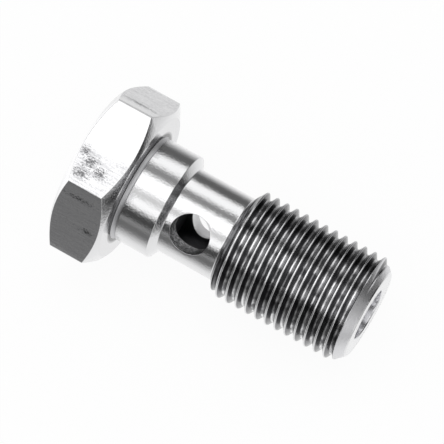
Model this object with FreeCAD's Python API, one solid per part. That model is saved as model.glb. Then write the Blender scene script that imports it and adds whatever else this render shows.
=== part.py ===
import FreeCAD, Part
import math
import os

os.makedirs("parts", exist_ok=True)

V = FreeCAD.Vector

# Banjo bolt, turned in one piece from hexagon bar, in millimetres.
# It is drawn with its axis along +X and the bearing face at X = 0, the head at
# negative X and the thread end at positive X, and then laid down on +Z as it rests.

# Hexagon head, 5/8 inch across flats, chamfered at both ends
hex_across_flats = 15.875
head_height = 5.45
bearing_face_d = 15.0
crown_face_d = 15.0
hex_chamfer_deg = 30.0

# Undercut between the bearing face and the collar, tapered in from a rim on the face
# that a washer with the collar's clearance still passes
relief_width = 0.45
relief_depth = 0.22
relief_rim = 0.1

# Collar that centres the eye of the fitting, and its shoulder down to the neck
collar_d = 10.8
collar_end = 3.9
shoulder_deg = 60.0

# Neck that leaves room for the fluid around the cross hole
neck_d = 8.76
neck_end = 10.4

# Thread, 7/16 inch at 24 to the inch, right hand
thread_d = 11.05
threads_per_inch = 24.0
thread_depth = 0.48
thread_flank_deg = 30.0
crest_flat = 0.16
lead_in_deg = 60.0
groove_turn_deg = 32.0

# Thread end
shank_length = 25.05
end_face_d = 8.78
end_chamfer_deg = 45.0

# Fluid bore from the thread end, drilled just past the cross hole
bore_d = 5.2
bore_past_cross = 0.15
drill_point_deg = 118.0

# Cross hole through the neck, turned away from the upper flat of the head
cross_d = 4.0
cross_from_face = 7.13
cross_turn_deg = 35.5

# Length that a cutter runs on beyond the surface it leaves
overrun = 1.0

pitch = 25.4 / threads_per_inch
hex_r = hex_across_flats / 2
hex_corner_r = hex_r / math.cos(math.radians(30))
crown_r = crown_face_d / 2
bearing_r = bearing_face_d / 2
collar_r = collar_d / 2
relief_r = collar_r - relief_depth
relief_rim_r = collar_r + relief_rim
neck_r = neck_d / 2
thread_r = thread_d / 2
root_r = thread_r - thread_depth
end_face_r = end_face_d / 2
bore_r = bore_d / 2
cross_r = cross_d / 2


def rise(degrees):
    """Radial rise for each millimetre along the axis on a cone at this angle to the axis."""
    return math.tan(math.radians(degrees))


def outline(corners):
    """A closed wire through (x, r) points, drawn below the axis, where the turned faces close."""
    points = [V(x, 0, -r) for x, r in corners]
    return Part.makePolygon(points + [points[0]])


def turned(corners):
    """The solid that a lathe leaves when this outline is turned once round the X axis."""
    return Part.Face(outline(corners)).revolve(V(0, 0, 0), V(1, 0, 0), 360)


def hexagon_bar(start, end):
    """Hexagon bar along X with two of its flats facing +Z and -Z."""
    corners = []
    for i in range(7):
        turn = math.radians(60 * i)
        corners.append(V(start, hex_corner_r * math.cos(turn), hex_corner_r * math.sin(turn)))
    return Part.Face(Part.makePolygon(corners)).extrude(V(end - start, 0, 0))


# The blank as it leaves the lathe, from the crown of the head to the thread end
bar_r = hex_corner_r + overrun
crown_edge = -head_height + (bar_r - crown_r) * rise(hex_chamfer_deg)
bearing_edge = -(bar_r - bearing_r) * rise(hex_chamfer_deg)
shoulder_end = collar_end + (collar_r - neck_r) / rise(shoulder_deg)
thread_start = neck_end + (thread_r - neck_r) / rise(lead_in_deg)
chamfer_start = shank_length - (thread_r - end_face_r) / rise(end_chamfer_deg)

head_outline = [
    (-head_height, 0),
    (-head_height, crown_r),
    (crown_edge, bar_r),
    (bearing_edge, bar_r),
    (0, bearing_r),
    (0, relief_rim_r),
]
collar_outline = [
    (relief_width, relief_r),
    (relief_width, collar_r),
    (collar_end, collar_r),
    (shoulder_end, neck_r),
    (neck_end, neck_r),
]
thread_blank = [
    (thread_start, thread_r),
    (chamfer_start, thread_r),
]
end_outline = [
    (shank_length, end_face_r),
    (shank_length, 0),
]
blank = turned(head_outline + collar_outline + thread_blank + end_outline)

# The bar's flats remain on the head alone, as the rest is turned smaller
bolt = blank.common(hexagon_bar(-head_height - overrun, shank_length + overrun))

# Thread groove, carried round the helix from above the neck to past the end, so that
# it runs out in the lead-in cone and in the end chamfer
root_half = (pitch - crest_flat) / 2 - thread_depth * rise(thread_flank_deg)
open_r = thread_r + crest_flat / 4
open_half = root_half + (open_r - root_r) * rise(thread_flank_deg)
groove_start = neck_end - pitch
groove_turns = math.ceil((shank_length - groove_start) / pitch + 1)
helix = Part.makeLongHelix(pitch, groove_turns * pitch, root_r, 0)
section = Part.makePolygon([
    V(root_r, 0, -root_half),
    V(open_r, 0, -open_half),
    V(open_r, 0, open_half),
    V(root_r, 0, root_half),
    V(root_r, 0, -root_half),
])
groove = Part.Wire(helix).makePipeShell([section], True, True)
groove.rotate(V(0, 0, 0), V(0, 1, 0), 90)
groove.rotate(V(0, 0, 0), V(1, 0, 0), groove_turn_deg)
groove.translate(V(groove_start, 0, 0))
bolt = bolt.cut(groove)

# Fluid bore with the drill's point beyond the cross hole
bore_end = cross_from_face - cross_r - bore_past_cross
fluid_bore = turned([
    (bore_end - bore_r / rise(drill_point_deg / 2), 0),
    (bore_end, bore_r),
    (shank_length + overrun, bore_r),
    (shank_length + overrun, 0),
])
bolt = bolt.cut(fluid_bore)

# Cross hole through both walls of the neck
turn = math.radians(cross_turn_deg)
cross_way = V(0, -math.sin(turn), math.cos(turn))
cross_start = V(cross_from_face, 0, 0) - cross_way * (neck_r + overrun)
bolt = bolt.cut(Part.makeCylinder(cross_r, 2 * (neck_r + overrun), cross_start, cross_way))

# At rest the bolt lies on a flat of its head, at the edge next to the bearing face,
# and on the last whole crest under it, so its axis dips towards the thread end
flat_edge = (hex_r - bearing_r) * rise(hex_chamfer_deg)
first_crest = groove_start + pitch * (0.5 - groove_turn_deg / 360)
whole_turns = math.floor((chamfer_start - crest_flat / 2 - first_crest) / pitch)
last_crest = first_crest + whole_turns * pitch + crest_flat / 2
dip = math.atan((hex_r - thread_r) / (last_crest + flat_edge))
lift = hex_r * math.cos(dip) - flat_edge * math.sin(dip)
head_reach = head_height * math.cos(dip) + crown_r * math.sin(dip)
end_reach = shank_length * math.cos(dip) + end_face_r * math.sin(dip)
bolt.rotate(V(0, 0, 0), V(0, 1, 0), math.degrees(dip))
bolt.translate(V((head_reach - end_reach) / 2, 0, lift))

bolt.exportStep("parts/bolt.step")
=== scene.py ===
import math

import bmesh
import bpy
from mathutils import Matrix, Vector


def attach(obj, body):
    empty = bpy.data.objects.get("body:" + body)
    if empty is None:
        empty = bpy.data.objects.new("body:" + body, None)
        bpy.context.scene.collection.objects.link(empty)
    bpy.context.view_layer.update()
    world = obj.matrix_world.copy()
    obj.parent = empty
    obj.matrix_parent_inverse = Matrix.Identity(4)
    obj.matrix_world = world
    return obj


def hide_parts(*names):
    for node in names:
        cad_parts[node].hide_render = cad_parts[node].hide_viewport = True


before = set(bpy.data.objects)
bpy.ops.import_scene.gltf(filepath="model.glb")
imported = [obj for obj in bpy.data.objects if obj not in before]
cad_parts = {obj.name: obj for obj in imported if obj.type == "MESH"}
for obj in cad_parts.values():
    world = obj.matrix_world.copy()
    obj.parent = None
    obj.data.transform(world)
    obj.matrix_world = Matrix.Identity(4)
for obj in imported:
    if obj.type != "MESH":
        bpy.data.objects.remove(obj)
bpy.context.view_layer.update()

# Sizes of the bolt in millimetres, the same as in its source. The axis runs along +X,
# the bearing face is at X = 0, and angles round the axis start at +Y and go towards +Z.
INCH = 25.4
HEX_R = 15.875 / 2
HEAD_HEIGHT = 5.45
HEAD_FACE_R = 7.5
HEX_CHAMFER = math.tan(math.radians(30))
RELIEF_RIM_R = 5.5
RELIEF_R = 5.18
RELIEF_WIDTH = 0.45
COLLAR_R = 5.4
COLLAR_END = 3.9
SHOULDER_SLOPE = math.tan(math.radians(60))
NECK_R = 4.38
NECK_END = 10.4
CREST_R = 5.525
PITCH = INCH / 24
SOURCE_CREST_FLAT = 0.16
LEAD_SLOPE = math.tan(math.radians(60))
GROOVE_TURN = 32 / 360
SHANK_LENGTH = 25.05
END_FACE_R = 4.39
BORE_R = 2.6
BORE_END = 4.98
DRILL_SLOPE = math.tan(math.radians(59))
CROSS_R = 2.0
CROSS_X = 7.13
CROSS_TURN = math.radians(90 + 35.5)

# Finer sizes that only this model has
EDGE_BREAK = 0.08
HEX_EDGE_R = 0.12
NECK_FILLET = 0.16
HOLE_BREAK = 0.04
MOUTH_BREAK = 0.1
THREAD_DEPTH = 0.6
CREST_FLAT = 0.12
CREST_ROUND = 0.12
ROOT_ROUND = 0.3
CONE_ROUND = 0.04

# Radii of the rings that build up the faces of the head
FACE_RING_R = 6.9
CROWN_RINGS = (0.6, 2.5, 4.7, FACE_RING_R)

# Distances within which points are merged, and the angle past which an edge stays sharp
SHEET_MERGE = 0.002
SKIN_MERGE = 0.003
SHARP_EDGE = math.radians(50)

# How it lies: on a flat of its head at the bearing side, and on the last whole crest
flat_edge = (HEX_R - HEAD_FACE_R) * HEX_CHAMFER
groove_start = NECK_END - PITCH
first_crest = groove_start + PITCH * (0.5 - GROOVE_TURN)
chamfer_start = SHANK_LENGTH - (CREST_R - END_FACE_R)
whole_turns = math.floor((chamfer_start - SOURCE_CREST_FLAT / 2 - first_crest) / PITCH)
last_crest = first_crest + whole_turns * PITCH + SOURCE_CREST_FLAT / 2
dip = math.atan((HEX_R - CREST_R) / (last_crest + flat_edge))
lift = HEX_R * math.cos(dip) - flat_edge * math.sin(dip)
head_reach = HEAD_HEIGHT * math.cos(dip) + HEAD_FACE_R * math.sin(dip)
end_reach = SHANK_LENGTH * math.cos(dip) + END_FACE_R * math.sin(dip)
bolt_place = Vector(((head_reach - end_reach) / 2000, 0, lift / 1000))
bolt_to_world = (
    Matrix.Translation(bolt_place)
    @ Matrix.Rotation(dip, 4, "Y")
    @ Matrix.Scale(0.001, 4)
)

# Columns round the axis. They crowd together at the six edges of the hexagon, so that
# those edges can be rounded.
COLUMNS = 240
CROWDING = 0.85 / 6


def column_turn(i):
    even = 2 * math.pi * i / COLUMNS
    return even - CROWDING * math.sin(6 * even)


TURNS = [column_turn(i) for i in range(COLUMNS)]


def on_ring(x, r, turn):
    return (x, r * math.cos(turn), r * math.sin(turn))


def ring(x, r):
    return [on_ring(x, r, turn) for turn in TURNS]


def rounded(corners, steps=3):
    """(x, r) points of a profile given as (x, r, corner radius), with arcs at its corners."""
    points = []
    for i, (x, r, radius) in enumerate(corners):
        here = Vector((x, r))
        if radius == 0 or i in (0, len(corners) - 1):
            points.append((x, r))
            continue
        back = (Vector(corners[i - 1][:2]) - here).normalized()
        ahead = (Vector(corners[i + 1][:2]) - here).normalized()
        half = back.angle(ahead) / 2
        reach = radius / math.tan(half)
        centre = here + (back + ahead).normalized() * (radius / math.sin(half))
        start = here + back * reach - centre
        end = here + ahead * reach - centre
        sweep = math.pi - 2 * half
        for k in range(steps + 1):
            share = k / steps
            a = math.sin((1 - share) * sweep) / math.sin(sweep)
            b = math.sin(share * sweep) / math.sin(sweep)
            p = centre + start * a + end * b
            points.append((p.x, p.y))
    return points


def hexagon_radius(turn):
    """Distance from the axis to the side of the hexagon bar, whose long edges are rounded."""
    off = abs((turn + math.pi / 6) % (math.pi / 3) - math.pi / 6)
    centre = (HEX_R - HEX_EDGE_R) / math.cos(math.pi / 6)
    tangent = math.atan2(HEX_EDGE_R * math.sin(math.pi / 6), centre + HEX_EDGE_R * math.cos(math.pi / 6))
    if off < tangent:
        return centre * math.cos(off) + math.sqrt(HEX_EDGE_R**2 - (centre * math.sin(off)) ** 2)
    return HEX_R / math.cos(math.pi / 6 - off)


def head_profile(turn):
    """The side of the head at one angle: crown, chamfer, flat, chamfer, bearing face."""
    side = hexagon_radius(turn)
    slant = (side - HEAD_FACE_R) * HEX_CHAMFER
    return rounded([
        (-HEAD_HEIGHT, FACE_RING_R, 0),
        (-HEAD_HEIGHT, HEAD_FACE_R, EDGE_BREAK),
        (-HEAD_HEIGHT + slant, side, EDGE_BREAK),
        (-slant, side, EDGE_BREAK),
        (0, HEAD_FACE_R, EDGE_BREAK),
        (0, FACE_RING_R, 0),
    ])


# Skin of the bolt, gathered as loose patches that are merged at their borders
skin = bmesh.new()
TURNED, DRAWN, FACED, THREADED, DRILLED, BORED, UNDERCUT, BEARING = range(8)


def add_rows(rows, finish):
    """Quads between closed rows of points."""
    made = [[skin.verts.new(p) for p in row] for row in rows]
    for low, high in zip(made, made[1:]):
        for i in range(len(low)):
            j = (i + 1) % len(low)
            face = skin.faces.new((low[i], low[j], high[j], high[i]))
            face.material_index = finish


def add_cap(points, x, finish):
    """Triangles from a ring to a point on the axis."""
    rim = [skin.verts.new(p) for p in points]
    pole = skin.verts.new((x, 0, 0))
    for i, v in enumerate(rim):
        face = skin.faces.new((v, rim[(i + 1) % len(rim)], pole))
        face.material_index = finish


# Head, from the middle of its crown to the bearing face. A rounded corner takes four rows:
# 1 to 4 are the crown's edge, 5 to 8 and 9 to 12 the two ends of the flats, and 13 to 16
# the edge of the bearing face.
add_cap(ring(-HEAD_HEIGHT, CROWN_RINGS[0]), -HEAD_HEIGHT, FACED)
add_rows([ring(-HEAD_HEIGHT, r) for r in CROWN_RINGS], FACED)
head_columns = [head_profile(turn) for turn in TURNS]
head_rows = []
for level in range(len(head_columns[0])):
    head_rows.append([on_ring(*column[level], turn) for column, turn in zip(head_columns, TURNS)])
add_rows(head_rows[:9], TURNED)
add_rows(head_rows[8:10], DRAWN)
add_rows(head_rows[9:14], TURNED)
add_rows(head_rows[13:], BEARING)

# Bearing face, undercut, collar, shoulder and the start of the neck. Rows 1 to 4 are the
# rim of the undercut, 5 to 8 the corner at its bottom and 9 to 12 the collar's edge.
NECK_LEFT = 4.78
NECK_RIGHT = 9.9
LEAD_CUT = 10.6
collar_profile = rounded([
    (0, FACE_RING_R, 0),
    (0, RELIEF_RIM_R, 0.06),
    (RELIEF_WIDTH, RELIEF_R, 0.04),
    (RELIEF_WIDTH, COLLAR_R, 0.06),
    (COLLAR_END, COLLAR_R, 0.12),
    (COLLAR_END + (COLLAR_R - NECK_R) / SHOULDER_SLOPE, NECK_R, NECK_FILLET),
    (NECK_LEFT, NECK_R, 0),
])
add_rows([ring(x, r) for x, r in collar_profile[:5]], BEARING)
add_rows([ring(x, r) for x, r in collar_profile[4:10]], UNDERCUT)
add_rows([ring(x, r) for x, r in collar_profile[9:]], TURNED)

# Neck after the cross hole, up to the cone that leads into the thread
neck_profile = rounded([
    (NECK_RIGHT, NECK_R, 0),
    (NECK_END, NECK_R, NECK_FILLET),
    (LEAD_CUT, NECK_R + (LEAD_CUT - NECK_END) * LEAD_SLOPE, 0),
])
add_rows([ring(x, r) for x, r in neck_profile[:5]], TURNED)
add_rows([ring(x, r) for x, r in neck_profile[4:]], THREADED)

# Thread end, its face and the fluid bore up to the cross hole
END_CUT = SHANK_LENGTH - 0.12
BORE_RIGHT = 9.9
end_profile = rounded([
    (END_CUT, END_FACE_R + SHANK_LENGTH - END_CUT, 0),
    (SHANK_LENGTH, END_FACE_R, 0.08),
    (SHANK_LENGTH, BORE_R + MOUTH_BREAK, 0.04),
    (SHANK_LENGTH - MOUTH_BREAK, BORE_R, 0.04),
    (SHANK_LENGTH - 3, BORE_R, 0),
    (SHANK_LENGTH - 9, BORE_R, 0),
    (BORE_RIGHT, BORE_R, 0),
])
add_rows([ring(x, r) for x, r in end_profile[:5]], TURNED)
add_rows([ring(x, r) for x, r in end_profile[4:7]], FACED)
add_rows([ring(x, r) for x, r in end_profile[6:]], BORED)

# Point that the drill left at the bottom of the bore
POINT_RINGS = (BORE_R, 1.7, 0.9, 0.2)
tip_x = BORE_END - BORE_R / DRILL_SLOPE
point_rows = [ring(BORE_END - (BORE_R - r) / DRILL_SLOPE, r) for r in POINT_RINGS]
add_rows(point_rows, BORED)
add_cap(point_rows[-1], tip_x, BORED)

# Zone of the cross hole. Each mouth is a patch that reaches half way round the neck, and
# the same half way round the bore inside, and the hole's wall joins the two.
SIDE_STEPS = 26
LAYERS = 12
WALL_STEPS = 3
RIM_ARC = [math.radians(a) for a in (0, 30, 60, 90)]
half_way = COLUMNS // 2
first_column = min(range(COLUMNS), key=lambda i: abs(TURNS[i] - (CROSS_TURN - math.pi / 2)))


def patch_border(first, x_left, x_right):
    """(x, turn) points once round a patch that covers half of a tube."""
    turns = [column_turn(first + i) for i in range(half_way + 1)]
    steps = [x_left + (x_right - x_left) * k / SIDE_STEPS for k in range(SIDE_STEPS + 1)]
    border = [(x_left, turn) for turn in turns[:-1]]
    border += [(x, turns[-1]) for x in steps[:-1]]
    border += [(x_right, turn) for turn in reversed(turns[1:])]
    border += [(x, turns[0]) for x in reversed(steps[1:])]
    return border


def hole_point(u, v, height, facing):
    """A point given along the bolt, across the hole, and along the hole's axis."""
    out = (math.cos(facing), math.sin(facing))
    across = (-math.sin(facing), math.cos(facing))
    return (CROSS_X + u, v * across[0] + height * out[0], v * across[1] + height * out[1])


def surround(border, edge, r, layers):
    """Rows of points that spread from the hole's edge to a patch's border on a tube."""
    rows = []
    for k in range(layers + 1):
        share = k / layers
        row = []
        for (x0, turn0), (x1, turn1) in zip(edge, border):
            row.append(on_ring(x0 + (x1 - x0) * share, r, turn0 + (turn1 - turn0) * share))
        rows.append(row)
    return rows


def edge_on_tube(hole_r, tube_r, ways, facing):
    """(x, turn) points of the edge that a hole of this radius has on a tube."""
    return [
        (CROSS_X + hole_r * math.cos(w), facing + math.asin(hole_r * math.sin(w) / tube_r))
        for w in ways
    ]


def ring_in_hole(hole_r, tube_r, sunk, ways, facing):
    """Points round the hole, this far below the surface of a tube."""
    points = []
    for w in ways:
        across = hole_r * math.sin(w)
        height = math.sqrt(tube_r**2 - across**2) - sunk
        points.append(hole_point(hole_r * math.cos(w), across, height, facing))
    return points


for first in (first_column, first_column + half_way):
    facing = CROSS_TURN if first == first_column else CROSS_TURN + math.pi
    outer_border = patch_border(first, NECK_LEFT, NECK_RIGHT)
    ways = [math.atan2((turn - facing) * NECK_R, x - CROSS_X) for x, turn in outer_border]
    outer_edge = edge_on_tube(CROSS_R + HOLE_BREAK, NECK_R, ways, facing)
    add_rows(surround(outer_border, outer_edge, NECK_R, LAYERS), TURNED)
    rim = []
    for a in reversed(RIM_ARC):
        r = CROSS_R + HOLE_BREAK * (1 - math.cos(a))
        rim.append(ring_in_hole(r, NECK_R, HOLE_BREAK * (1 - math.sin(a)), ways, facing))
    add_rows(rim, TURNED)
    top = rim[-1]
    bottom = ring_in_hole(CROSS_R, BORE_R, 0, ways, facing)
    add_rows([
        [tuple(a + (b - a) * k / WALL_STEPS for a, b in zip(p, q)) for p, q in zip(top, bottom)]
        for k in range(WALL_STEPS + 1)
    ], DRILLED)
    inner_border = patch_border(first, BORE_END, BORE_RIGHT)
    inner_edge = edge_on_tube(CROSS_R, BORE_R, ways, facing)
    add_rows(surround(inner_border, inner_edge, BORE_R, LAYERS), BORED)


def linear(code):
    """Linear colour of an sRGB hex code, with alpha."""
    parts = [int(code[i:i + 2], 16) / 255 for i in (1, 3, 5)]
    return tuple(c / 12.92 if c <= 0.04045 else ((c + 0.055) / 1.055) ** 2.4 for c in parts) + (1,)


def add(tree, kind, inputs=(), **settings):
    """Adds a node with its settings, and sets or links its inputs."""
    made = tree.nodes.new(kind)
    for name, value in settings.items():
        setattr(made, name, value)
    for key, value in dict(inputs).items():
        if isinstance(value, bpy.types.Node):
            value = value.outputs[0]
        if isinstance(value, bpy.types.NodeSocket):
            tree.links.new(value, made.inputs[key])
        else:
            made.inputs[key].default_value = value
    return made


def calc(tree, operation, *values):
    """Adds a maths node whose inputs are numbers, sockets or nodes."""
    return add(tree, "ShaderNodeMath", dict(enumerate(values)), operation=operation)


def ramp(tree, value, start, end, low=0, high=1, kind="LINEAR"):
    """Adds a node that goes from low to high while the value goes from start to end."""
    return add(tree, "ShaderNodeMapRange", {
        "Value": value, "From Min": start, "From Max": end, "To Min": low, "To Max": high,
    }, interpolation_type=kind)


def blend(tree, share, low, high):
    """Mixes two colours, each given as a hex code or a socket, and returns the socket."""
    low, high = [linear(c) if isinstance(c, str) else c for c in (low, high)]
    return add(tree, "ShaderNodeMix", {0: share, 6: low, 7: high}, data_type="RGBA").outputs[2]


# Thread, a sheet of rows that follow the helix. Where a row would leave the thread's
# length it stays at its end, and the merge takes up what folds together there.
ROWS_PER_PITCH = 18
ROW_CROWDING = 0.4
thread_rows = ROWS_PER_PITCH * math.ceil((END_CUT - LEAD_CUT) / PITCH + 2) + 1
crest_at_y = groove_start + PITCH * (0.5 + (math.pi / 2 - 2 * math.pi * GROOVE_TURN) / (2 * math.pi))
turns_back = math.ceil((crest_at_y - LEAD_CUT) / PITCH) + 1

thread_tree = bpy.data.node_groups.new("Cut thread", "GeometryNodeTree")
thread_tree.interface.new_socket(name="Geometry", in_out="OUTPUT", socket_type="NodeSocketGeometry")
thread_sizes = {
    "Pitch": PITCH,
    "Crest radius": CREST_R,
    "Depth": THREAD_DEPTH,
    "Crest flat": CREST_FLAT,
    "First crest": crest_at_y - turns_back * PITCH,
    "Start": LEAD_CUT,
    "End": END_CUT,
    "Neck end": NECK_END,
    "Neck radius": NECK_R,
    "Lead slope": LEAD_SLOPE,
    "Shank length": SHANK_LENGTH,
    "End face radius": END_FACE_R,
}
for name, value in thread_sizes.items():
    socket = thread_tree.interface.new_socket(name=name, in_out="INPUT", socket_type="NodeSocketFloat")
    socket.default_value = value
sizes = add(thread_tree, "NodeGroupInput").outputs
sheet = add(thread_tree, "GeometryNodeMeshGrid", {
    "Size X": thread_rows - 1,
    "Size Y": COLUMNS,
    "Vertices X": thread_rows,
    "Vertices Y": COLUMNS + 1,
})
spot = add(thread_tree, "ShaderNodeSeparateXYZ", {0: add(thread_tree, "GeometryNodeInputPosition")})
# Turn of each column, crowded at the hexagon's edges like the rest of the skin
even = calc(thread_tree, "MULTIPLY_ADD", spot.outputs["Y"], 2 * math.pi / COLUMNS, math.pi)
wave = calc(thread_tree, "SINE", calc(thread_tree, "MULTIPLY", even, 6))
turn = calc(thread_tree, "MULTIPLY_ADD", wave, -CROWDING, even)
# Place of each row in pitches, crowded at crests and roots
half_length = (thread_rows - 1) / 2 / ROWS_PER_PITCH
step = calc(thread_tree, "MULTIPLY_ADD", spot.outputs["X"], 1 / ROWS_PER_PITCH, half_length)
swing = calc(thread_tree, "SINE", calc(thread_tree, "MULTIPLY", step, 4 * math.pi))
place = calc(thread_tree, "MULTIPLY_ADD", swing, -ROW_CROWDING / (4 * math.pi), step)
advance = calc(thread_tree, "MULTIPLY_ADD", turn, 1 / (2 * math.pi), place)
free_x = calc(thread_tree, "MULTIPLY_ADD", advance, sizes["Pitch"], sizes["First crest"])
late_x = calc(thread_tree, "MAXIMUM", free_x, sizes["Start"])
held_x = calc(thread_tree, "MINIMUM", late_x, sizes["End"])
# Drop below the crest: flat, 60 degree flanks and a rounded root
away = calc(thread_tree, "PINGPONG", place, 0.5)
away_mm = calc(thread_tree, "MULTIPLY", away, sizes["Pitch"])
from_flat = calc(thread_tree, "MULTIPLY_ADD", sizes["Crest flat"], -0.5, away_mm)
flank = calc(thread_tree, "MULTIPLY", from_flat, math.sqrt(3))
crest = calc(thread_tree, "SMOOTH_MAX", flank, 0.0, CREST_ROUND)
drop = calc(thread_tree, "SMOOTH_MIN", crest, sizes["Depth"], ROOT_ROUND)
free_r = calc(thread_tree, "SUBTRACT", sizes["Crest radius"], drop)
# Cones that cut the thread back at its start and at its end
past_neck = calc(thread_tree, "SUBTRACT", held_x, sizes["Neck end"])
lead_r = calc(thread_tree, "MULTIPLY_ADD", past_neck, sizes["Lead slope"], sizes["Neck radius"])
to_end = calc(thread_tree, "SUBTRACT", sizes["Shank length"], held_x)
end_r = calc(thread_tree, "ADD", to_end, sizes["End face radius"])
led_r = calc(thread_tree, "SMOOTH_MIN", free_r, lead_r, CONE_ROUND)
cut_r = calc(thread_tree, "SMOOTH_MIN", led_r, end_r, CONE_ROUND)
y = calc(thread_tree, "MULTIPLY", cut_r, calc(thread_tree, "COSINE", turn))
z = calc(thread_tree, "MULTIPLY", cut_r, calc(thread_tree, "SINE", turn))
spots = add(thread_tree, "ShaderNodeCombineXYZ", {0: held_x, 1: y, 2: z})
wound = add(thread_tree, "GeometryNodeSetPosition", {"Geometry": sheet, "Position": spots})
merged = add(thread_tree, "GeometryNodeMergeByDistance", {"Geometry": wound, "Distance": SHEET_MERGE})
whole = add(thread_tree, "GeometryNodeRealizeInstances", {"Geometry": merged})


# Materials. Patterns are worked out in millimetres in the bolt's own axes, and the height
# of a pattern in metres. Where a pattern sets a colour or a roughness, steel() isn't given
# one.
def steel(name, colour="#DCDCDD", roughness=0.2):
    """A plain metal, and its tree, the bolt's axes and its shader for patterns to link to."""
    made = bpy.data.materials.new(name)
    made.use_nodes = True
    tree = made.node_tree
    tree.nodes.clear()
    here = add(tree, "ShaderNodeTexCoord")
    axes = add(tree, "ShaderNodeMapping", {
        "Vector": here.outputs["Object"],
        "Location": bolt_place,
        "Rotation": (0, dip, 0),
        "Scale": (0.001, 0.001, 0.001),
    }, vector_type="TEXTURE")
    shader = add(tree, "ShaderNodeBsdfPrincipled", {
        "Base Color": linear(colour), "Metallic": 1.0, "Roughness": roughness,
    })
    add(tree, "ShaderNodeOutputMaterial", {"Surface": shader})
    return made, tree, axes, shader


def noise(tree, axes, scale, detail, roughness=0.5):
    """Noise with its own scale along the bolt and across it."""
    squeezed = add(tree, "ShaderNodeMapping", {"Vector": axes, "Scale": scale})
    return add(tree, "ShaderNodeTexNoise", {
        "Vector": squeezed, "Scale": 1.0, "Detail": detail, "Roughness": roughness,
    })


def from_axis(tree, axes):
    """Distance from the bolt's axis."""
    across = add(tree, "ShaderNodeVectorMath", {0: axes, 1: (0, 1, 1)}, operation="MULTIPLY")
    return add(tree, "ShaderNodeVectorMath", {0: across}, operation="LENGTH").outputs["Value"]


def towards(tree, axes, way):
    """How far a point lies from the bolt's axis towards one side."""
    made = add(tree, "ShaderNodeVectorMath", {0: axes, 1: way}, operation="DOT_PRODUCT")
    return made.outputs["Value"]


def near_place(tree, axes, middle, half_length, half_breadth):
    """Closeness to the middle of an oval place, 1 in its middle and 0 at its edge."""
    centred = add(tree, "ShaderNodeMapping", {
        "Vector": axes, "Location": middle, "Scale": (half_length, half_breadth, half_breadth),
    }, vector_type="TEXTURE")
    closeness = add(tree, "ShaderNodeTexGradient", {"Vector": centred}, gradient_type="SPHERICAL")
    return closeness.outputs["Fac"]


def emboss(tree, shader, pattern, height, strength=1.0):
    """Gives a surface the relief of a pattern."""
    bump = add(tree, "ShaderNodeBump", {"Strength": strength, "Distance": height, "Height": pattern})
    tree.links.new(bump.outputs[0], shader.inputs["Normal"])


# Stainless steel turned on a lathe: bright, and a little wavy from the cutter, so that the
# edges of what it mirrors are ragged
turned_steel, tree, axes, shader = steel("Turned stainless steel", "#E0E0E1", 0.11)
emboss(tree, shader, noise(tree, axes, (6, 4, 4), 3.0, 0.65), 0.000019)

# End faces cut by a tool that moves across them: rings about the axis, duller
faced_steel, tree, axes, shader = steel("Faced stainless steel", "#DCDCDD", 0.16)
cuts = add(tree, "ShaderNodeTexNoise", {
    "W": from_axis(tree, axes), "Scale": 5.0, "Detail": 2.0,
}, noise_dimensions="1D")
emboss(tree, shader, cuts, 0.00002, 0.6)

# Hexagon bar as it was drawn through its die: even, with streaks along the bar, a fine
# mottling, and places where short dark pits lie along the bar. The upper flat is polished
# on its plain half, where its colour is also kept at its lightest as a painted highlight,
# and smeared round its pits. Each place is given by its middle, half its length and half
# its breadth in millimetres.
PITTED_PLACES = [
    ((-4.6, -1.3, 7.94), 0.9, 0.8),
    ((-3.6, -2.0, 7.94), 1.4, 1.0),
    ((-2.3, -2.6, 7.94), 1.3, 1.0),
    ((-3.9, -3.3, 7.94), 1.5, 0.9),
    ((-3.0, -5.3, 6.6), 2.6, 0.5),
    ((-1.4, -7.1, 3.6), 1.0, 0.6),
    ((-3.0, 5.6, 6.2), 3.4, 0.7),
]
# Polished half of the upper flat, kept at the lightest colour as a painted highlight
POLISH_HIGHLIGHT_PLACE = ((-2.7, 2.4, 7.94), 5.0, 3.6)
drawn_steel, tree, axes, shader = steel("Drawn hexagon bar")
streaks = noise(tree, axes, (0.6, 6, 6), 4.0, 0.6)
mottling = add(tree, "ShaderNodeTexNoise", {
    "Vector": axes, "Scale": 5.0, "Detail": 3.0, "Roughness": 0.65,
})
uneven = calc(tree, "ADD", streaks, mottling)
# No mottling or bump in the polished place, and its light colour there is a painted highlight
outside_polish_highlight = ramp(tree, near_place(tree, axes, *POLISH_HIGHLIGHT_PLACE), 0.02, 0.3, 1, 0)
worn = calc(tree, "MULTIPLY", ramp(tree, uneven, 0.75, 1.25), outside_polish_highlight)
by_pits = 0.0
for pitted_place in PITTED_PLACES:
    by_pits = calc(tree, "MAXIMUM", by_pits, near_place(tree, axes, *pitted_place))
pits = noise(tree, axes, (4.0, 13, 13), 2.0, 0.6)
pitted = ramp(tree, calc(tree, "MULTIPLY_ADD", by_pits, 0.3, pits), 0.68, 0.74, 0, 0.85)
smeared = ramp(tree, calc(tree, "MULTIPLY_ADD", by_pits, 0.45, streaks), 0.58, 0.85, 0, 0.42)
height = add(tree, "ShaderNodeSeparateXYZ", {0: axes}).outputs["Z"]
smear = calc(tree, "MULTIPLY", smeared, ramp(tree, height, 7.6, 7.8))
bar_tone = blend(tree, worn, "#EAEAEB", "#C9C9CB")
smear_tone = blend(tree, smear, bar_tone, "#9C9C9E")
pitted_tone = blend(tree, pitted, smear_tone, "#4C4C4E")
tree.links.new(pitted_tone, shader.inputs["Base Color"])
tree.links.new(ramp(tree, worn, 0, 1, 0.12, 0.22).outputs[0], shader.inputs["Roughness"])
emboss(tree, shader, uneven, 0.000008, calc(tree, "MULTIPLY", outside_polish_highlight, 0.5))
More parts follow.
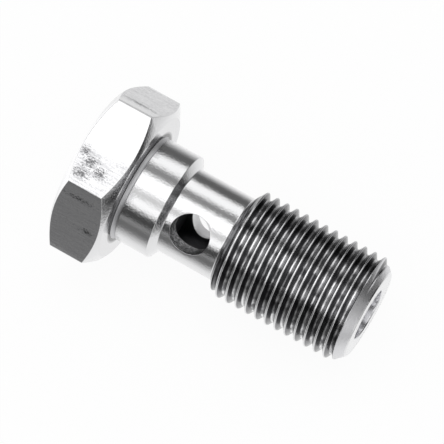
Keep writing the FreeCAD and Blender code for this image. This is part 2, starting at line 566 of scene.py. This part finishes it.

# Thread cut with a die. Its colour paints light and shade: dark flanks are painted shade
# between the crests, and light crests and roots are painted highlights, the roots in short
# lengths. How bright follows the distance from the axis.
thread_steel, tree, axes, shader = steel("Cut thread steel")
reach = from_axis(tree, axes)
station = add(tree, "ShaderNodeSeparateXYZ", {0: axes}).outputs["X"]
# Where the painted highlights go: the crests, and the roots in short lengths past the lead-in
at_crest = ramp(tree, reach, CREST_R - 0.1, CREST_R - 0.03)
at_root = ramp(tree, reach, CREST_R - 0.5, CREST_R - 0.55)
past_lead = ramp(tree, station, NECK_END + 0.9, NECK_END + 1.2)
in_lengths = ramp(tree, noise(tree, axes, (1.6, 0.6, 0.6), 2.0), 0.42, 0.56)
root_glint = calc(tree, "MULTIPLY", calc(tree, "MULTIPLY", at_root, in_lengths), past_lead)
glint = calc(tree, "MAXIMUM", at_crest, root_glint)
# The chamfer at the end was turned before the thread was cut. On it, the place along the
# bolt and the distance from the axis always add up to the same length.
chamfer_sum = SHANK_LENGTH + END_FACE_R
at_chamfer = ramp(tree, calc(tree, "ADD", station, reach), chamfer_sum - 0.07, chamfer_sum - 0.02)
# Painted shade: the side that is turned up is darker, on flanks and crests alike
UPTURNED_SHADE_WAY = (0, 0.97, 0.23)
upturned_shade = ramp(tree, towards(tree, axes, UPTURNED_SHADE_WAY), 1.5, 5.0)
# Painted shade on the flanks and painted highlights on the crests and roots
shaded_flank_tone = blend(tree, upturned_shade, "#6C6C6E", "#3E3E40")
glint_tone = blend(tree, upturned_shade, "#E2E2E3", "#A4A4A6")
glint_and_shade_tone = blend(tree, glint, shaded_flank_tone, glint_tone)
cut_tone = blend(tree, at_chamfer, glint_and_shade_tone, "#DCDCDE")
tree.links.new(cut_tone, shader.inputs["Base Color"])
tree.links.new(ramp(tree, at_chamfer, 0, 1, 0.2, 0.32).outputs[0], shader.inputs["Roughness"])
emboss(tree, shader, noise(tree, axes, (5, 2, 2), 3.0), 0.00002)

# Walls of the cross hole, left by the drill: torn, and mottled with lighter places. The
# near side is painted dark as shade in the hole, and the far side is painted light
hole_steel, tree, axes, shader = steel("Drilled steel", roughness=0.3)
scores = add(tree, "ShaderNodeTexNoise", {
    "Vector": axes, "Scale": 4.0, "Detail": 4.0, "Roughness": 0.75,
})
# Painted shade on the near side, mottled with lighter places at random
shaded_near_tone = blend(tree, ramp(tree, scores, 0.47, 0.62), "#454547", "#C4C4C6")
hole_way = (0, math.cos(CROSS_TURN), math.sin(CROSS_TURN))
# Painted light on the far side of the hole
lit_far_side = ramp(tree, towards(tree, axes, hole_way), 1.0, -1.0)
tree.links.new(blend(tree, lit_far_side, shaded_near_tone, "#EAEAEB"), shader.inputs["Base Color"])
emboss(tree, shader, scores, 0.00009)

# Fluid bore: dull, painted dark deep inside as shade in the bore, and bright and smoother near its mouth
bore_steel, tree, axes, shader = steel("Bored steel")
station = add(tree, "ShaderNodeSeparateXYZ", {0: axes}).outputs["X"]
lit_by_mouth = ramp(tree, station, SHANK_LENGTH - 1.6, SHANK_LENGTH - 0.7)
# Painted shade deep in the bore, fading out near the mouth
tree.links.new(blend(tree, lit_by_mouth, "#3C3C3E", "#E2E2E4"), shader.inputs["Base Color"])
tree.links.new(ramp(tree, lit_by_mouth, 0, 1, 0.4, 0.14).outputs[0], shader.inputs["Roughness"])

# Bearing face: bright, with a dark ring painted close to the collar as shade in the corner,
# which is the thin dark line that is seen beside the head
bearing_steel, tree, axes, shader = steel("Bearing face steel", roughness=0.16)
# Painted shade inside this radius, in the corner by the collar
clear_of_corner_shade = ramp(tree, from_axis(tree, axes), 5.75, 6.1)
tree.links.new(blend(tree, clear_of_corner_shade, "#303032", "#D8D8D9"), shader.inputs["Base Color"])

# Undercut: satin, nearly as light as the collar
undercut_steel = steel("Steel of the undercut", "#CACACC", 0.42)[0]

# The materials in the order of the finishes' numbers
FINISHES = [
    turned_steel, drawn_steel, faced_steel, thread_steel,
    hole_steel, bore_steel, undercut_steel, bearing_steel,
]

dressed = add(thread_tree, "GeometryNodeSetMaterial", {"Geometry": whole, "Material": thread_steel})
add(thread_tree, "NodeGroupOutput", {0: dressed})

# The thread's sheet becomes a plain mesh and joins the rest of the skin
thread_maker = bpy.data.objects.new("thread_maker", bpy.data.meshes.new("thread_maker"))
bpy.context.scene.collection.objects.link(thread_maker)
modifier = thread_maker.modifiers.new("Thread", "NODES")
modifier.node_group = thread_tree
for item in thread_tree.interface.items_tree:
    if item.in_out == "INPUT":
        modifier[item.identifier] = thread_sizes[item.name]
bpy.context.view_layer.update()
seen = thread_maker.evaluated_get(bpy.context.evaluated_depsgraph_get())
thread_mesh = bpy.data.meshes.new_from_object(seen)
plain_faces = len(skin.faces)
skin.from_mesh(thread_mesh)
for face in list(skin.faces)[plain_faces:]:
    face.material_index = THREADED
bpy.data.objects.remove(thread_maker)
bpy.data.meshes.remove(thread_mesh)

bmesh.ops.remove_doubles(skin, verts=skin.verts, dist=SKIN_MERGE)
bmesh.ops.recalc_face_normals(skin, faces=skin.faces)
for face in skin.faces:
    face.smooth = True
for edge in skin.edges:
    edge.smooth = edge.calc_face_angle(0) < SHARP_EDGE

bolt_mesh = bpy.data.meshes.new("banjo_bolt")
skin.transform(bolt_to_world)
skin.to_mesh(bolt_mesh)
skin.free()
for finish in FINISHES:
    bolt_mesh.materials.append(finish)
banjo_bolt = bpy.data.objects.new("banjo_bolt", bolt_mesh)
bpy.context.scene.collection.objects.link(banjo_bolt)
weighted = banjo_bolt.modifiers.new("Even shading", "WEIGHTED_NORMAL")
weighted.keep_sharp = True
weighted.weight = 50
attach(banjo_bolt, "root")
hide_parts("bolt")

# Camera, as the photograph was taken: from above, a little towards the thread end. Its
# place and its turns were fitted to the photograph, in units of 1.116 millimetres.
LENS_PIXELS = 3345.6
FRAME_PIXELS = 444
MM_PER_UNIT = 1.116
LOOKED_AT = Vector((-0.19, 0, 0))
EYE_RIGHT = 7.1496
EYE_DOWN = 3.0095
EYE_BACK = 285.2
heading = 0.5077
tilt = 0.1677
roll = math.radians(13.4)
toward = Vector((0, -math.sin(roll), math.cos(roll)))
below = Vector((0, -math.cos(roll), -math.sin(roll)))
along = Vector((1, 0, 0))
right = (
    along * math.cos(heading) * math.cos(tilt)
    - below * math.sin(heading)
    - toward * math.cos(heading) * math.sin(tilt)
)
down = (
    along * math.sin(heading) * math.cos(tilt)
    + below * math.cos(heading)
    - toward * math.sin(heading) * math.sin(tilt)
)
back = along * math.sin(tilt) + toward * math.cos(tilt)
eye = LOOKED_AT + (right * EYE_RIGHT + down * EYE_DOWN + back * EYE_BACK) * MM_PER_UNIT
turned_frame = Matrix((right, -down, back)).transposed().to_4x4()
camera_data = bpy.data.cameras.new("camera")
camera_data.sensor_width = 36
camera_data.lens = LENS_PIXELS / FRAME_PIXELS * camera_data.sensor_width
camera_data.clip_start = 0.01
camera_data.clip_end = 10
camera = bpy.data.objects.new("camera", camera_data)
camera.matrix_world = (
    Matrix.Translation(bolt_to_world @ eye) @ Matrix.Rotation(dip, 4, "Y") @ turned_frame
)
bpy.context.scene.collection.objects.link(camera)
bpy.context.scene.camera = camera

# Floor, a pale sheet that shows the faint shadow of the bolt
floor_mesh = bpy.data.meshes.new("floor")
half = 1.5
corners = [(-half, -half, 0), (half, -half, 0), (half, half, 0), (-half, half, 0)]
floor_mesh.from_pydata(corners, [], [(0, 1, 2, 3)])
floor = bpy.data.objects.new("floor", floor_mesh)
bpy.context.scene.collection.objects.link(floor)
floor.visible_glossy = False
WHITE = (1, 1, 1, 1)
PAPER_GLOW = 0.94
paper = bpy.data.materials.new("White paper")
paper.use_nodes = True
tree = paper.node_tree
tree.nodes.clear()
path = add(tree, "ShaderNodeLightPath")
matt = add(tree, "ShaderNodeBsdfDiffuse", {"Color": (0.9, 0.9, 0.9, 1)})
glow = add(tree, "ShaderNodeEmission", {"Color": WHITE, "Strength": 1.0})
bright = add(tree, "ShaderNodeMixShader", {"Fac": PAPER_GLOW, 1: matt, 2: glow})
in_metal = calc(tree, "MAXIMUM", path.outputs["Is Glossy Ray"], path.outputs["Is Transmission Ray"])
in_view = calc(tree, "MAXIMUM", path.outputs["Is Camera Ray"], in_metal)
seen_by = add(tree, "ShaderNodeMixShader", {"Fac": in_view, 1: matt, 2: bright})
add(tree, "ShaderNodeOutputMaterial", {"Surface": seen_by})
floor_mesh.materials.append(paper)

# Studio: long soft boxes laid beside the bolt, and first the pale sheet under it. Each is
# the angle of its middle round the bolt's axis from straight up towards the camera's side,
# half its width, its level and how soft its edge is.
SOFT_BOXES = [
    (180.5, 59.5, 1.0, 27),
    (-95, 30, 0.14, 12),
    (-59.8, 17.2, 1.24, 8.5),
    (-32, 12, 0.3, 8),
    (-1.8, 19.8, 1.5, 7.5),
    (26, 14, 0.78, 8),
    (42.5, 13.5, 1.32, 8),
    (87.5, 5.5, 0.36, 6),
    (102, 14, 0.18, 10),
]
DARK_LEVEL = 0.065
# Past the boxes: an even grey beyond the head, and beyond the thread end a dark ring with
# a pale wall on the camera's side, and a paler middle. On the head's side the boxes are
# brighter.
HEAD_END_LEVEL = 0.5
THREAD_END_LEVEL = 0.04
THREAD_POLE_LEVEL = 0.55
END_WALL = (86, 48, 0.95, 22)
HEAD_SIDE_GAIN = 1.3
world = bpy.data.worlds.new("Studio")
bpy.context.scene.world = world
world.use_nodes = True
tree = world.node_tree
tree.nodes.clear()
look = add(tree, "ShaderNodeTexCoord")
level = add(tree, "ShaderNodeMapping", {
    "Vector": look.outputs["Generated"], "Rotation": (0, dip, 0),
}, vector_type="TEXTURE")
parts = add(tree, "ShaderNodeSeparateXYZ", {0: level})
toward_viewer = calc(tree, "MULTIPLY", parts.outputs["Y"], -1)
degrees = calc(tree, "DEGREES", calc(tree, "ARCTAN2", toward_viewer, parts.outputs["Z"]))


def soft_box(centre, half_width, strength, edge):
    """Level of one soft box by the angle round the axis."""
    nearest = calc(tree, "WRAP", calc(tree, "SUBTRACT", degrees, centre), 180, -180)
    apart = calc(tree, "ABSOLUTE", nearest)
    return ramp(tree, apart, half_width - edge, half_width + edge, strength, 0, "SMOOTHSTEP")


boxes = DARK_LEVEL
for box in SOFT_BOXES:
    boxes = calc(tree, "MAXIMUM", boxes, soft_box(*box))
end_wall = calc(tree, "MAXIMUM", soft_box(*END_WALL), THREAD_END_LEVEL)
ahead = parts.outputs["X"]
gain = ramp(tree, ahead, -0.75, -0.5, HEAD_SIDE_GAIN, 1, "SMOOTHSTEP")
gained = calc(tree, "MULTIPLY", boxes, gain)
past_thread = ramp(tree, ahead, 0.7, 0.9, gained, end_wall, "SMOOTHSTEP")
at_pole = ramp(tree, ahead, 0.95, 0.985, past_thread, THREAD_POLE_LEVEL, "SMOOTHSTEP")
seen_level = ramp(tree, ahead, -0.97, -0.85, HEAD_END_LEVEL, at_pole, "SMOOTHSTEP")
light_path = add(tree, "ShaderNodeLightPath")
white = add(tree, "ShaderNodeBackground", {"Color": WHITE, "Strength": 1.0})
soft = add(tree, "ShaderNodeBackground", {"Color": WHITE, "Strength": 0.85})
mirror = add(tree, "ShaderNodeBackground", {"Color": WHITE, "Strength": seen_level})
lit = add(tree, "ShaderNodeMixShader", {"Fac": light_path.outputs["Is Glossy Ray"], 1: soft, 2: mirror})
plain = calc(
    tree, "MAXIMUM", light_path.outputs["Is Camera Ray"], light_path.outputs["Is Transmission Ray"],
)
sky = add(tree, "ShaderNodeMixShader", {"Fac": plain, 1: lit, 2: white})
add(tree, "ShaderNodeOutputWorld", {"Surface": sky})

# One broad soft lamp overhead, for the shadow under the bolt
lamp_data = bpy.data.lights.new("overhead", "AREA")
lamp_data.shape = "SQUARE"
lamp_data.size = 0.25
lamp_data.energy = 0.25
lamp = bpy.data.objects.new("overhead", lamp_data)
lamp.location = (-0.05, 0.1, 0.4)
lamp.rotation_euler = (Vector((0, 0, 0)) - lamp.location).to_track_quat("-Z", "Y").to_euler()
lamp.visible_glossy = False
bpy.context.scene.collection.objects.link(lamp)

bpy.context.scene.view_settings.view_transform = "Standard"
